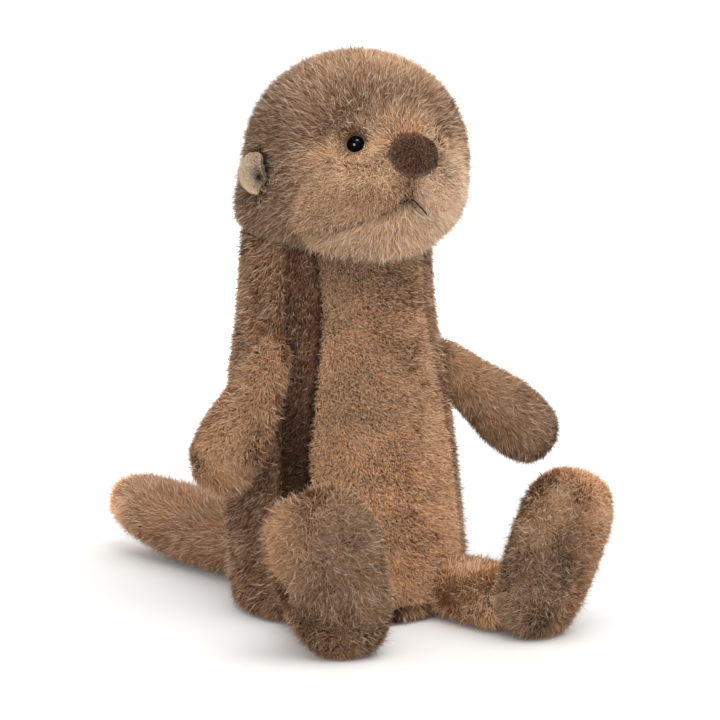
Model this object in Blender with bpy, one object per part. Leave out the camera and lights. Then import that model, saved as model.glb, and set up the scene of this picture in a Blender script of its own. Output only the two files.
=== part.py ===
"""A seated plush otter, 25 cm tall: the solid of each sewn piece, out to the tips of its pile.

Metres, +Z up. The toy faces -Y, its own left is +X, and the origin is on the floor
in the middle of its seat.
"""
import math

import bmesh
import bpy
from mathutils import Matrix, Vector

GAP = 0.0003                 # clearance kept between two pieces that touch
FLOOR = 0.0
BLOCK = 0.4                  # side of the blocks that part one piece from its neighbour

# How finely each kind of piece is faceted: faces around it, and faces along it.
FACETS = {
    "trunk": (32, 20),
    "head": (40, 22),
    "muzzle": (24, 12),
    "nose": (20, 10),
    "eye": (16, 8),
    "ear": (16, 10),
    "arm": (16, 14),
    "leg": (16, 8),
    "foot": (20, 12),
    "tail": (18, 13),
    "mouth": 40,
}

# Trunk: a stuffed column that leans back a little, wider at the hips.
# Each station is a height, the half width, the half depth, and the middle's place along Y.
TRUNK_TOP = 0.184
TRUNK_SINK = 0.006           # how far the rounded bottom is pressed flat
TRUNK_SQUARENESS = 13.0
TRUNK_STATIONS = (
    (0.000, 0.0545, 0.0512, -0.006),
    (0.020, 0.0550, 0.0512, -0.004),
    (0.048, 0.0540, 0.0502, -0.001),
    (0.076, 0.0525, 0.0488, 0.002),
    (0.104, 0.0500, 0.0462, 0.005),
    (0.132, 0.0460, 0.0415, 0.006),
    (0.160, 0.0445, 0.0388, 0.006),
    (0.190, 0.0435, 0.0380, 0.004),
)
BELLY_FLOOR = 0.010          # the belly panel ends here, above the base piece
BELLY_CUT_Y = -0.0415        # the panel's back plane where it meets the floor
BELLY_CUT_SLOPE = 0.112      # how fast that plane leans back with height

# Head: blended balls, given about the head's own centre. The skull's are flattened in front.
HEAD_CENTRE = Vector((0.0, -0.016, 0.202))
HEAD_YAW = math.radians(-2.5)
BALL_BLEND = 0.003
SKULL_BALLS = (
    ((0.0, 0.004, 0.002), (0.0495, 0.0480, 0.0455)),        # crown
    ((0.0, 0.009, -0.018), (0.0480, 0.0470, 0.0240)),       # jowls
    ((0.0, 0.015, -0.014), (0.0420, 0.0420, 0.0320)),       # back of the head
    ((0.0, 0.022, -0.028), (0.0435, 0.0390, 0.0160)),       # nape
)
FACE_FRONT = -0.0310         # the skull's flattened front, where the eyes sit
SNOUT_BALLS = (
    ((0.0, -0.024, 0.003), (0.0195, 0.0245, 0.0245)),       # bridge
    ((0.0135, -0.031, -0.0075), (0.0175, 0.0185, 0.0155)),  # left whisker pad
    ((-0.0135, -0.031, -0.0075), (0.0175, 0.0185, 0.0155)), # right whisker pad
    ((0.0, -0.024, -0.026), (0.0240, 0.0200, 0.0150)),      # chin
)
MUZZLE_ZONE_CENTRE = Vector((0.0, -0.046, -0.0105))
MUZZLE_ZONE_RADII = (0.0258, 0.0260, 0.0212)
MOUTH_ARCH_CENTRE = (-0.0010, -0.0370)    # across the face, and up
MOUTH_ARCH_RADII = (0.0155, 0.0240)      # the mouth line is the top of this arch
MOUTH_ARCH_REACH = (-0.125, -0.005)      # from well before the face to behind the chin
FACE_CORE_Y = -0.015         # inside the head, behind every point of the face

NOSE_CENTRE = (0.0012, 0.0050)            # across the face, and up
NOSE_RADII = (0.0118, 0.0055, 0.0092)
NOSE_PROUD = 0.0030          # how far its front stands out of the muzzle

# The eyes sit beside the bridge, where it meets the flattened front.
EYE_RADIUS = 0.0040
EYE_SIDES = {"eye_left": 0.0186, "eye_right": -0.0205}
EYE_HEIGHT = 0.0096
EYE_DEPTHS = {"eye_left": 0.0042, "eye_right": 0.0020}   # each bead's centre below the pile

EAR_CENTRE = (0.0510, -0.0008, -0.0043)
EAR_RADII = (0.0098, 0.0040, 0.0096)
EAR_FLARE = math.radians(34.0)           # its rear edge stands out of the head
EAR_DISH = 0.0026

STITCH_RADIUS = 0.0005
STITCH_DEPTH = 0.0004
STITCH_START = math.radians(7.0)         # clear of the other stitch at the top
STITCH_REACH = 0.72          # how far round the arch each stitch runs to its corner
STITCH_STEPS = 8

# Limbs: centre line start and end, then half width and half depth along it.
ARMS = {
    "arm_right": dict(start=(-0.034, -0.012, 0.129), end=(-0.0805, -0.0235, 0.0620)),
    "arm_left": dict(start=(0.032, -0.010, 0.120), end=(0.0990, -0.019, 0.0625)),
}
ARM_PROFILE = ((0.0, 0.0108, 0.0103), (0.35, 0.0124, 0.0120), (0.65, 0.0175, 0.0152),
               (1.0, 0.0205, 0.0166))
ARM_SQUARENESS = 2.75
ARM_BOXINESS = 2.0

LEGS = {
    "right": dict(hip=(-0.026, -0.020, 0.0118), heel=(-0.046, -0.083, 0.0130)),
    "left": dict(hip=(0.026, -0.022, 0.0118), heel=(0.040, -0.094, 0.0130)),
}
LEG_PROFILE = ((0.0, 0.0185, 0.0132), (0.5, 0.0188, 0.0134), (1.0, 0.0210, 0.0148))
LEG_SQUARENESS = 4.0
LEG_BOXINESS = 3.0

FEET = {
    "right": dict(base=(-0.0417, -0.0840), splay=19.0, roll=17.4, pitch=8.0),
    "left": dict(base=(0.0367, -0.0950), splay=13.0, roll=12.2, pitch=12.0),
}
FOOT_LENGTH = 0.078
FOOT_PROFILE = ((0.0, 0.0205, 0.0172), (0.35, 0.0226, 0.0162), (0.75, 0.0253, 0.0160),
                (1.0, 0.0242, 0.0152))
FOOT_SQUARENESS = 3.1
FOOT_BOXINESS = 2.5          # 2 is an oval section, more is squarer
FOOT_SINK = 0.0012

# The tail's centre line: distance behind the seat, sideways shift and height.
TAIL_STATIONS = ((0.030, -0.004, 0.0200), (0.075, -0.019, 0.0180), (0.110, -0.031, 0.0195),
                 (0.145, -0.044, 0.0270))
TAIL_PROFILE = ((0.0, 0.0315, 0.0205), (0.5, 0.0228, 0.0178), (1.0, 0.0155, 0.0157))
TAIL_SQUARENESS = 3.6
TAIL_BOXINESS = 2.4

COLOURS = {
    "brown_plush": (0.25, 0.15, 0.09),
    "belly_plush": (0.29, 0.17, 0.09),
    "face_plush": (0.38, 0.24, 0.14),
    "ear_plush": (0.47, 0.36, 0.26),
    "nose_plush": (0.07, 0.04, 0.03),
    "eye_bead": (0.01, 0.01, 0.01),
    "stitch_thread": (0.02, 0.02, 0.02),
}
ROUGHNESS = {"eye_bead": 0.08, "stitch_thread": 0.6}
PLUSH_ROUGHNESS = 0.95
SOLVERS = {"head": 'MANIFOLD'}   # EXACT loses the head's volume after its fifth cut


def clear_scene():
    for item in list(bpy.data.objects):
        bpy.data.objects.remove(item)


def collection(name):
    group = bpy.data.collections.new(name)
    bpy.context.scene.collection.children.link(group)
    return group


def material(name):
    made = bpy.data.materials.get(name)
    if made is None:
        made = bpy.data.materials.new(name)
        made.use_nodes = True
        shader = made.node_tree.nodes["Principled BSDF"]
        shader.inputs["Base Color"].default_value = (*COLOURS[name], 1.0)
        shader.inputs["Roughness"].default_value = ROUGHNESS.get(name, PLUSH_ROUGHNESS)
        shader.inputs["Metallic"].default_value = 0.0
    return made


def smooth_between(stations, at):
    """Read the numbers of a list of stations at one place, along a smooth curve."""
    last = len(stations) - 1
    index = max(i for i in range(last) if i == 0 or stations[i][0] <= at)
    before, low, high, after = (stations[max(0, min(last, index + k))] for k in (-1, 0, 1, 2))
    share = max(0.0, min(1.0, (at - low[0]) / (high[0] - low[0])))
    values = []
    for k in range(1, len(low)):
        slope_low = (high[k] - before[k]) / (high[0] - before[0]) * (high[0] - low[0])
        slope_high = (after[k] - low[k]) / (after[0] - low[0]) * (high[0] - low[0])
        values.append(low[k] * (2 * share**3 - 3 * share**2 + 1)
                      + slope_low * (share**3 - 2 * share**2 + share)
                      + high[k] * (3 * share**2 - 2 * share**3)
                      + slope_high * (share**3 - share**2))
    return values


def shaped_sphere(name, facets, place):
    """A UV sphere whose points, given as unit directions, are moved by place().

    It is turned half a segment, so that no edge runs down the middle of a piece.
    """
    segments, rings = facets
    shape = bmesh.new()
    bmesh.ops.create_uvsphere(shape, u_segments=segments, v_segments=rings, radius=1.0)
    half_segment = Matrix.Rotation(math.pi / segments, 3, 'Z')
    for vertex in shape.verts:
        vertex.co = place(half_segment @ vertex.co)
    bmesh.ops.recalc_face_normals(shape, faces=shape.faces)
    mesh = bpy.data.meshes.new(name)
    shape.to_mesh(mesh)
    shape.free()
    mesh.shade_smooth()
    return mesh


def add_piece(name, mesh, look, group):
    piece = bpy.data.objects.new(name, mesh)
    group.objects.link(piece)
    if not mesh.materials:
        mesh.materials.append(material(look))
    return piece


def add_cutter(name, mesh, group, grow=0.0):
    """A wire-only guide, grown outwards by the clearance that its cut leaves."""
    cutter = bpy.data.objects.new(name, mesh)
    group.objects.link(cutter)
    cutter.hide_render = True
    cutter.display_type = 'WIRE'
    if grow:
        growth = cutter.modifiers.new("Clearance", 'DISPLACE')
        growth.strength = grow
        growth.mid_level = 0.0
    return cutter


def cut(piece, cutter, operation='DIFFERENCE'):
    boolean = piece.modifiers.new("Cut by " + cutter.name, 'BOOLEAN')
    boolean.operation = operation
    boolean.solver = SOLVERS.get(piece.name, 'EXACT')
    boolean.object = cutter


def round_end(along, squareness):
    """Share of the full half width that is left at a place from -1 to 1 along a piece."""
    return max(0.0, 1.0 - abs(along) ** squareness) ** (1.0 / squareness)


def trunk_point(direction):
    height = -TRUNK_SINK + (TRUNK_TOP + TRUNK_SINK) * (direction.z + 1.0) / 2.0
    half_width, half_depth, centre_y = smooth_between(TRUNK_STATIONS, height)
    left = round_end(direction.z, TRUNK_SQUARENESS)
    around = Vector((direction.x, direction.y))
    if around.length > 1e-6:
        around.normalize()
    return Vector((around.x * half_width * left, centre_y + around.y * half_depth * left,
                   max(FLOOR, height)))


def limb_point(direction, path, side, profile, squareness, boxiness):
    """A point on a limb that is swept along path(), from 0 at its root to 1 at its end."""
    along = (direction.z + 1.0) / 2.0
    centre = path(along)
    step = 0.01
    forward = (path(min(1.0, along + step)) - path(max(0.0, along - step))).normalized()
    across = (side - forward * side.dot(forward)).normalized()
    third = forward.cross(across)
    half_width, half_depth = smooth_between(profile, along)
    around = Vector((direction.x, direction.y))
    if around.length > 1e-6:
        around.normalize()
        around /= (abs(around.x) ** boxiness + abs(around.y) ** boxiness) ** (1.0 / boxiness)
    around *= round_end(direction.z, squareness)
    point = centre + across * around.x * half_width + third * around.y * half_depth
    point.z = max(FLOOR, point.z)
    return point


def straight(start, end):
    start = Vector(start)
    end = Vector(end)
    return lambda along: start.lerp(end, along)


def blend_of(distances, blend):
    """The smallest of some distances, rounded off where two are nearly equal."""
    return -blend * math.log(sum(math.exp(-distance / blend) for distance in distances))


def ball_distance(point, ball):
    centre, radii = ball
    scaled = Vector([(point[k] - centre[k]) / radii[k] for k in range(3)])
    return (scaled.length - 1.0) * min(radii)


def head_field(point):
    """Below zero inside the head, above zero outside."""
    skull = blend_of([ball_distance(point, ball) for ball in SKULL_BALLS], BALL_BLEND)
    skull = -blend_of((-skull, point[1] - FACE_FRONT), BALL_BLEND)
    return blend_of([skull] + [ball_distance(point, ball) for ball in SNOUT_BALLS], BALL_BLEND)


def head_surface(start, direction, reach=0.090):
    """Where a line from a point inside the head comes out of it."""
    near = 0.0
    far = reach
    for _ in range(30):
        middle = (near + far) / 2.0
        if head_field(start + direction * middle) < 0.0:
            near = middle
        else:
            far = middle
    return start + direction * near


def in_head(point):
    """Take a point about the head's centre to its place on the toy."""
    return HEAD_CENTRE + Matrix.Rotation(HEAD_YAW, 3, 'Z') @ Vector(point)


def head_ellipsoid(name, centre, radii, facets):
    def place(direction):
        return in_head(Vector(centre) + Vector([direction[k] * radii[k] for k in range(3)]))
    return shaped_sphere(name, facets, place)


def block_mesh(name, placing):
    """A block of the common size, put in its place by a matrix."""
    block = bmesh.new()
    bmesh.ops.create_cube(block, size=BLOCK)
    bmesh.ops.transform(block, matrix=placing, verts=block.verts)
    mesh = bpy.data.meshes.new(name)
    block.to_mesh(mesh)
    block.free()
    return mesh


def trunk_pieces(pieces, cutters):
    whole = shaped_sphere("trunk_whole", FACETS["trunk"], trunk_point)
    trunk = add_piece("torso", whole, "brown_plush", pieces)
    belly = add_piece("belly_panel", whole.copy(), "belly_plush", pieces)
    belly.data.materials[0] = material("belly_plush")
    lean = math.atan(BELLY_CUT_SLOPE)
    for piece, clearance, operation in ((trunk, GAP / 2, 'DIFFERENCE'),
                                        (belly, -GAP / 2, 'INTERSECT')):
        corner = Vector((0.0, BELLY_CUT_Y + clearance, BELLY_FLOOR - clearance))
        mesh = block_mesh("belly_block_" + piece.name,
                          Matrix.Translation(corner) @ Matrix.Rotation(-lean, 4, 'X')
                          @ Matrix.Translation((0.0, -BLOCK / 2, BLOCK / 2)))
        cut(piece, add_cutter(mesh.name, mesh, cutters), operation)
    return add_cutter("trunk_space", whole, cutters, GAP)


def head_pieces(pieces, cutters):
    whole = shaped_sphere("head_whole", FACETS["head"],
                          lambda direction: in_head(head_surface(Vector(), direction)))
    head_space = add_cutter("head_space", whole, cutters, GAP)
    head = add_piece("head", whole, "brown_plush", pieces)
    pad_left = add_piece("whisker_pad_left", whole.copy(), "face_plush", pieces)
    pad_right = add_piece("whisker_pad_right", whole.copy(), "face_plush", pieces)
    chin = add_piece("chin", whole.copy(), "face_plush", pieces)
    for piece in (pad_left, pad_right, chin):
        piece.data.materials[0] = material("face_plush")

    zone = head_ellipsoid("muzzle_zone", MUZZLE_ZONE_CENTRE, MUZZLE_ZONE_RADII,
                          FACETS["muzzle"])
    zone_inner = add_cutter("muzzle_zone_inner", zone, cutters, -GAP / 2)
    zone_outer = add_cutter("muzzle_zone_outer", zone, cutters, GAP / 2)

    arches = {}
    arch_turn = Matrix.Rotation(math.radians(90.0), 4, 'X')
    front, back = MOUTH_ARCH_REACH
    for label, grow in (("inner", -GAP / 2), ("outer", GAP / 2)):
        arch = bmesh.new()
        bmesh.ops.create_cone(arch, cap_ends=True, segments=FACETS["mouth"], radius1=1.0,
                              radius2=1.0, depth=1.0)
        sizes = (MOUTH_ARCH_RADII[0] + grow, back - front, MOUTH_ARCH_RADII[1] + grow)
        centre_x, centre_z = MOUTH_ARCH_CENTRE
        middle = in_head((centre_x, (front + back) / 2.0, centre_z))
        place = (Matrix.Translation(middle) @ Matrix.Rotation(HEAD_YAW, 4, 'Z')
                 @ Matrix.Diagonal((*sizes, 1.0)) @ arch_turn)
        bmesh.ops.transform(arch, matrix=place, verts=arch.verts)
        mesh = bpy.data.meshes.new("mouth_arch_" + label)
        arch.to_mesh(mesh)
        arch.free()
        arches[label] = add_cutter(mesh.name, mesh, cutters)
    cut(chin, zone_inner, 'INTERSECT')
    cut(chin, arches["inner"], 'INTERSECT')
    for pad, side in ((pad_left, 1.0), (pad_right, -1.0)):
        mesh = block_mesh("half_" + pad.name,
                          Matrix.Translation(HEAD_CENTRE) @ Matrix.Rotation(HEAD_YAW, 4, 'Z')
                          @ Matrix.Translation((side * (BLOCK + GAP) / 2, 0.0, 0.0)))
        cut(pad, zone_inner, 'INTERSECT')
        cut(pad, add_cutter(mesh.name, mesh, cutters), 'INTERSECT')
        cut(pad, arches["outer"])
    face = {"head": head, "left": pad_left, "right": pad_right, "chin": chin}
    return head_space, zone_outer, face


def nose_piece(pieces, cutters, face):
    side, height = NOSE_CENTRE
    front = head_surface(Vector((side, FACE_CORE_Y, height)), Vector((0.0, -1.0, 0.0)))
    centre = Vector((side, front.y - NOSE_PROUD + NOSE_RADII[1], height))
    mesh = head_ellipsoid("nose", centre, NOSE_RADII, FACETS["nose"])
    add_piece("nose", mesh, "nose_plush", pieces)
    space = add_cutter("nose_space", mesh, cutters, GAP)
    for piece in face.values():
        if piece is not face["chin"]:
            cut(piece, space)


def eye_pieces(pieces, cutters, face):
    for name, side in EYE_SIDES.items():
        start = Vector((side, FACE_CORE_Y, EYE_HEIGHT))
        front = head_surface(start, Vector((0.0, -1.0, 0.0)))
        centre = front - front.normalized() * EYE_DEPTHS[name]
        mesh = head_ellipsoid(name, centre, (EYE_RADIUS,) * 3, FACETS["eye"])
        add_piece(name, mesh, "eye_bead", pieces)
        cut(face["head"], add_cutter(name + "_space", mesh, cutters, GAP))


def ear_pieces(pieces, head_space):
    """Small cupped ears: a dished disc against the head, its rear edge flared out."""
    for name, side in (("ear_left", 1.0), ("ear_right", -1.0)):
        centre = Vector((side * EAR_CENTRE[0], EAR_CENTRE[1], EAR_CENTRE[2]))
        back = Vector((side * math.sin(EAR_FLARE), math.cos(EAR_FLARE), 0.0))
        outward = Vector((side * math.cos(EAR_FLARE), -math.sin(EAR_FLARE), 0.0))

        def place(direction, centre=centre, back=back, outward=outward):
            rim = min(1.0, math.hypot(direction.x, direction.z))
            thick = direction.y * EAR_RADII[1]
            if direction.y > 0.0:
                thick -= EAR_DISH * math.cos(rim * math.pi / 2.0) ** 0.5
            return in_head(centre + back * direction.x * EAR_RADII[0] + outward * thick
                           + Vector((0.0, 0.0, direction.z * EAR_RADII[2])))
        ear = add_piece(name, shaped_sphere(name, FACETS["ear"], place), "ear_plush", pieces)
        cut(ear, head_space)


def stitch_pieces(pieces, cutters, face):
    """One strand of black thread down each side of the mouth line, just above the chin."""
    beside = STITCH_RADIUS + GAP / 2.0
    centre_x, centre_z = MOUTH_ARCH_CENTRE
    for name, side in (("mouth_stitch_left", 1.0), ("mouth_stitch_right", -1.0)):
        strand = bpy.data.curves.new(name, 'CURVE')
        strand.dimensions = '3D'
        strand.bevel_depth = STITCH_RADIUS
        strand.bevel_resolution = 1
        strand.use_fill_caps = True
        line = strand.splines.new('POLY')
        line.points.add(STITCH_STEPS)
        for k in range(STITCH_STEPS + 1):
            turn = STITCH_START + STITCH_REACH * k / STITCH_STEPS
            x = centre_x + side * (MOUTH_ARCH_RADII[0] + beside) * math.sin(turn)
            z = centre_z + (MOUTH_ARCH_RADII[1] + beside) * math.cos(turn)
            point = head_surface(Vector((x, FACE_CORE_Y, z)), Vector((0.0, -1.0, 0.0)))
            point.y += STITCH_DEPTH
            line.points[k].co = (*in_head(point), 1.0)
        guide = bpy.data.objects.new(name + "_line", strand)
        cutters.objects.link(guide)
        mesh = bpy.data.meshes.new_from_object(
            guide.evaluated_get(bpy.context.evaluated_depsgraph_get()))
        bpy.data.objects.remove(guide)
        tube = bmesh.new()
        tube.from_mesh(mesh)
        bmesh.ops.remove_doubles(tube, verts=tube.verts, dist=0.00002)
        bmesh.ops.recalc_face_normals(tube, faces=tube.faces)
        tube.to_mesh(mesh)
        tube.free()
        mesh.name = name
        add_piece(name, mesh, "stitch_thread", pieces)
        space = add_cutter(name + "_space", mesh, cutters, GAP)
        cut(face["left" if side > 0 else "right"], space)


def arm_pieces(pieces, trunk_space):
    for name, arm in ARMS.items():
        path = straight(arm["start"], arm["end"])
        side = Vector((0.0, -1.0, 0.0)).cross(Vector(arm["end"]) - Vector(arm["start"]))

        def place(direction, path=path, side=side):
            return limb_point(direction, path, side, ARM_PROFILE, ARM_SQUARENESS, ARM_BOXINESS)
        arm_mesh = shaped_sphere(name, FACETS["arm"], place)
        cut(add_piece(name, arm_mesh, "brown_plush", pieces), trunk_space)


def foot_axes(foot):
    """The sole's outward way, the way up the foot, and the way across it."""
    splay = math.radians(foot["splay"])
    side = 1.0 if foot["base"][0] > 0 else -1.0
    sole = Vector((side * math.sin(splay), -math.cos(splay), 0.0))
    across = Vector((0.0, 0.0, 1.0)).cross(sole)
    up = Vector((0.0, 0.0, 1.0))
    up.rotate(Matrix.Rotation(side * math.radians(foot["roll"]), 3, -sole))
    up.rotate(Matrix.Rotation(math.radians(foot["pitch"]), 3, across))
    return sole, up.normalized(), across


def leg_and_foot_pieces(pieces, cutters, trunk_space):
    for side_name, foot in FEET.items():
        sole, up, across = foot_axes(foot)
        base = Vector((*foot["base"], -FOOT_SINK))
        path = straight(base, base + up * FOOT_LENGTH)

        def foot_place(direction, path=path, across=across):
            return limb_point(direction, path, across, FOOT_PROFILE, FOOT_SQUARENESS,
                              FOOT_BOXINESS)
        name = "foot_" + side_name
        foot_mesh = shaped_sphere(name, FACETS["foot"], foot_place)
        add_piece(name, foot_mesh, "brown_plush", pieces)
        foot_space = add_cutter(name + "_space", foot_mesh, cutters, GAP)

        leg = LEGS[side_name]
        leg_path = straight(leg["hip"], leg["heel"])

        def leg_place(direction, path=leg_path):
            return limb_point(direction, path, Vector((1.0, 0.0, 0.0)), LEG_PROFILE,
                              LEG_SQUARENESS, LEG_BOXINESS)
        name = "leg_" + side_name
        leg_mesh = shaped_sphere(name, FACETS["leg"], leg_place)
        leg_piece = add_piece(name, leg_mesh, "brown_plush", pieces)
        cut(leg_piece, trunk_space)
        cut(leg_piece, foot_space)


def tail_piece(pieces, trunk_space):
    first = TAIL_STATIONS[0][0]
    last = TAIL_STATIONS[-1][0]

    def path(along):
        y = first + (last - first) * along
        sideways, height = smooth_between(TAIL_STATIONS, y)
        return Vector((sideways, y, height))

    def place(direction):
        return limb_point(direction, path, Vector((1.0, 0.0, 0.0)), TAIL_PROFILE,
                          TAIL_SQUARENESS, TAIL_BOXINESS)
    tail_mesh = shaped_sphere("tail", FACETS["tail"], place)
    cut(add_piece("tail", tail_mesh, "brown_plush", pieces), trunk_space)


def build():
    clear_scene()
    pieces = collection("plush_otter")
    cutters = collection("cutters")
    trunk_space = trunk_pieces(pieces, cutters)
    head_space, muzzle_space, face = head_pieces(pieces, cutters)
    eye_pieces(pieces, cutters, face)
    cut(face["head"], muzzle_space)
    cut(face["head"], trunk_space)
    nose_piece(pieces, cutters, face)
    ear_pieces(pieces, head_space)
    stitch_pieces(pieces, cutters, face)
    arm_pieces(pieces, trunk_space)
    leg_and_foot_pieces(pieces, cutters, trunk_space)
    tail_piece(pieces, trunk_space)


build()
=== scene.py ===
"""The looks of a seated plush otter: stuffed skins under a coat of pile, bead eyes, a velvet
nose and a stitched mouth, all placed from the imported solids."""
import itertools
import math

import bmesh
import bpy
import numpy as np
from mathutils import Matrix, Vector
from mathutils.bvhtree import BVHTree


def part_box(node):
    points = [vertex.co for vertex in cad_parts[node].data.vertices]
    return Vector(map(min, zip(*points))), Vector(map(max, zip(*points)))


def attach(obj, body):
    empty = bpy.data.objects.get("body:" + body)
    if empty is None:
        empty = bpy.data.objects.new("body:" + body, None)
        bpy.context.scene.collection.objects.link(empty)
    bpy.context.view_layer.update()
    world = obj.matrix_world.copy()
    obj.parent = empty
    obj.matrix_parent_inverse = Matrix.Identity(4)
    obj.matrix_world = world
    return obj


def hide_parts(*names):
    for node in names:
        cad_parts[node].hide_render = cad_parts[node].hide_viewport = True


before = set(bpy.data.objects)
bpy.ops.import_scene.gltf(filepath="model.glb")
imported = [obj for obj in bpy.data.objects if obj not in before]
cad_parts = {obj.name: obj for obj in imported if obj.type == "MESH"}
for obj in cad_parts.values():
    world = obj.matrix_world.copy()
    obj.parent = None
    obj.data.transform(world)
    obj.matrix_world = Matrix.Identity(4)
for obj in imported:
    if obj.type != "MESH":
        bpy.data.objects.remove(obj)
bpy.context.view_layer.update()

SEED = 7
MM = 0.001
FLOOR_GAP = 0.2 * MM         # pile that the toy sits on is pressed flat this far above the floor
PATCH = 0.003                # width of one tuft's patch on the bake map
PILE_BUDGET = 1.0
SINK = 0.82                  # a skin lies below the solid by this share of its pile's length
JOIN = 0.35 * MM             # solids grow by this much so that the gaps between them close up
SEWN_INTO = 4.5 * MM         # how far a skin runs on into the piece it is sewn to
SEAM_GAP = (0.6 * MM, 1.6 * MM)    # solids this close are sewn, and this far apart they aren't
EYES = ("eye_left", "eye_right")
EARS = ("ear_left", "ear_right")
BODY = ("torso", "belly_panel")


def stuffed(*nodes, **changes):
    """A stuffed skin over some CAD nodes: the neighbours it is sewn into, the fittings it closes
    over, how finely its surface is made, how firmly it is filled, which is not used, and its slot."""
    return dict(dict(nodes=nodes, into=(), filled=(), grow=JOIN, voxel=1.6 * MM, fill=0.5,
                     slot="brown_plush"), **changes)


SKINS = {
    "head": stuffed("head", "whisker_pad_left", "whisker_pad_right", "chin", into=BODY,
                    filled=(*EYES, "nose"), fill=0.8),
    "torso": stuffed(*BODY, voxel=1.9 * MM, fill=0.7),
    "arm_left": stuffed("arm_left", into=BODY),
    "arm_right": stuffed("arm_right", into=BODY),
    "leg_left": stuffed("leg_left", into=(*BODY, "foot_left")),
    "leg_right": stuffed("leg_right", into=(*BODY, "foot_right")),
    "foot_left": stuffed("foot_left", fill=0.6),
    "foot_right": stuffed("foot_right", fill=0.6),
    "tail": stuffed("tail", into=("torso",), voxel=1.7 * MM, fill=0.6),
    "nose": stuffed("nose", grow=0.0, voxel=0.8 * MM, fill=0.9, slot="nose_plush"),
    "ear_left": stuffed("ear_left", grow=0.0, voxel=0.7 * MM, fill=0.3, slot="ear_plush"),
    "ear_right": stuffed("ear_right", grow=0.0, voxel=0.7 * MM, fill=0.3, slot="ear_plush"),
}


# ---------------------------------------------------------------- colour and numbers

def linear(red, green, blue):
    """A colour given from 0 to 255 as it looks on a screen, as linear light."""
    value = np.array((red, green, blue)) / 255.0
    return np.where(value <= 0.04045, value / 12.92, ((value + 0.055) / 1.055) ** 2.4)


# The cloth's dyes, and the frost on its tips.
TAN = linear(184, 142, 104)
BROWN = linear(152, 111, 78)
UMBER = linear(104, 69, 45)
OCHRE = linear(180, 140, 103)
CREAM = linear(202, 164, 128)
BEIGE = linear(210, 184, 155)
STRAW = linear(224, 186, 146)
SILVER = linear(224, 202, 178)
COCOA = linear(92, 61, 46)


def unit(vectors):
    return vectors / np.maximum(np.linalg.norm(vectors, axis=-1, keepdims=True), 1e-9)


def dot(first, second):
    return np.sum(first * second, axis=-1, keepdims=True)


def flat_to(normals, ways):
    """Each way turned into its surface's own plane."""
    return unit(ways - normals * dot(ways, normals))


def ramp(low, high, values):
    """A smooth step from 0 at low to 1 at high, which may be the smaller number."""
    share = np.clip((values - low) / (high - low), 0.0, 1.0)
    return share * share * (3.0 - 2.0 * share)


def random_at(cells, seed):
    """A repeatable random number from 0 to 1 for each whole-numbered cell of space."""
    key = cells[..., 0] * 73856093 ^ cells[..., 1] * 19349663 ^ cells[..., 2] * 83492791
    key = (key ^ seed * 40503) & 0xffffffff
    key = ((key ^ (key >> 16)) * 0x45d9f3b) & 0xffffffff
    key = ((key ^ (key >> 16)) * 0x45d9f3b) & 0xffffffff
    return (key ^ (key >> 16)) / 0xffffffff


def cloud(points, size, seed):
    """Smooth noise from 0 to 1 whose lumps are about that size."""
    scaled = points / size
    cells = np.floor(scaled).astype(np.int64)
    share = scaled - cells
    share = share * share * (3.0 - 2.0 * share)
    total = np.zeros(len(points))
    for corner in itertools.product((0, 1), repeat=3):
        weight = np.prod(np.where(np.array(corner) == 1, share, 1.0 - share), axis=1)
        total += weight * random_at(cells + corner, SEED + seed)
    return total


def swirl(points, size, seed):
    """A smoothly changing random direction at each point."""
    return np.stack([cloud(points, size, seed + k) * 2.0 - 1.0 for k in range(3)], axis=1)


def lock_centres(points, size, seed):
    """The middle of the lock that each root belongs to: the nearest point of a shaken grid."""
    cells = np.floor(points / size).astype(np.int64)
    shortest = np.full(len(points), np.inf)
    centres = np.zeros_like(points)
    for corner in itertools.product((-1, 0, 1), repeat=3):
        cell = cells + corner
        spots = np.stack([random_at(cell, SEED + seed + k) for k in range(3)], axis=1)
        spots = (cell + spots) * size
        distance = np.sum((spots - points) ** 2, axis=1)
        closer = distance < shortest
        shortest[closer] = distance[closer]
        centres[closer] = spots[closer]
    return centres


# ---------------------------------------------------------------- materials

def new_material(name):
    made = bpy.data.materials.new(name)
    made.use_nodes = True
    return made, made.node_tree.nodes, made.node_tree.nodes["Principled BSDF"]


def add_node(nodes, kind, settings=(), **values):
    """A new node, with its sockets' settings and its own values."""
    node = nodes.new("ShaderNode" + kind)
    for key, value in values.items():
        setattr(node, key, value)
    put(node, dict(settings))
    return node


def put(node, settings):
    for socket, value in settings.items():
        node.inputs[socket].default_value = value


def wire(first, output, second, socket):
    first.id_data.links.new(first.outputs[output], second.inputs[socket])


def ramp_node(nodes, stops):
    node = add_node(nodes, "ValToRGB")
    elements = node.color_ramp.elements
    while len(elements) < len(stops):
        elements.new(0.5)
    for element, (position, shade) in zip(elements, stops):
        element.position = position
        element.color = (*np.broadcast_to(shade, 3), 1.0)
    return node


def dyed_node(nodes):
    """A node that multiplies the dye, with the painted light and shade it carries, already on its
    A, by what goes into its B.
    """
    node = add_node(nodes, "Mix", {"Factor": 1.0}, data_type='RGBA', blend_type='MULTIPLY')
    wire(add_node(nodes, "Attribute", attribute_name="shaded_marking"), "Color", node, "A")
    return node


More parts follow.
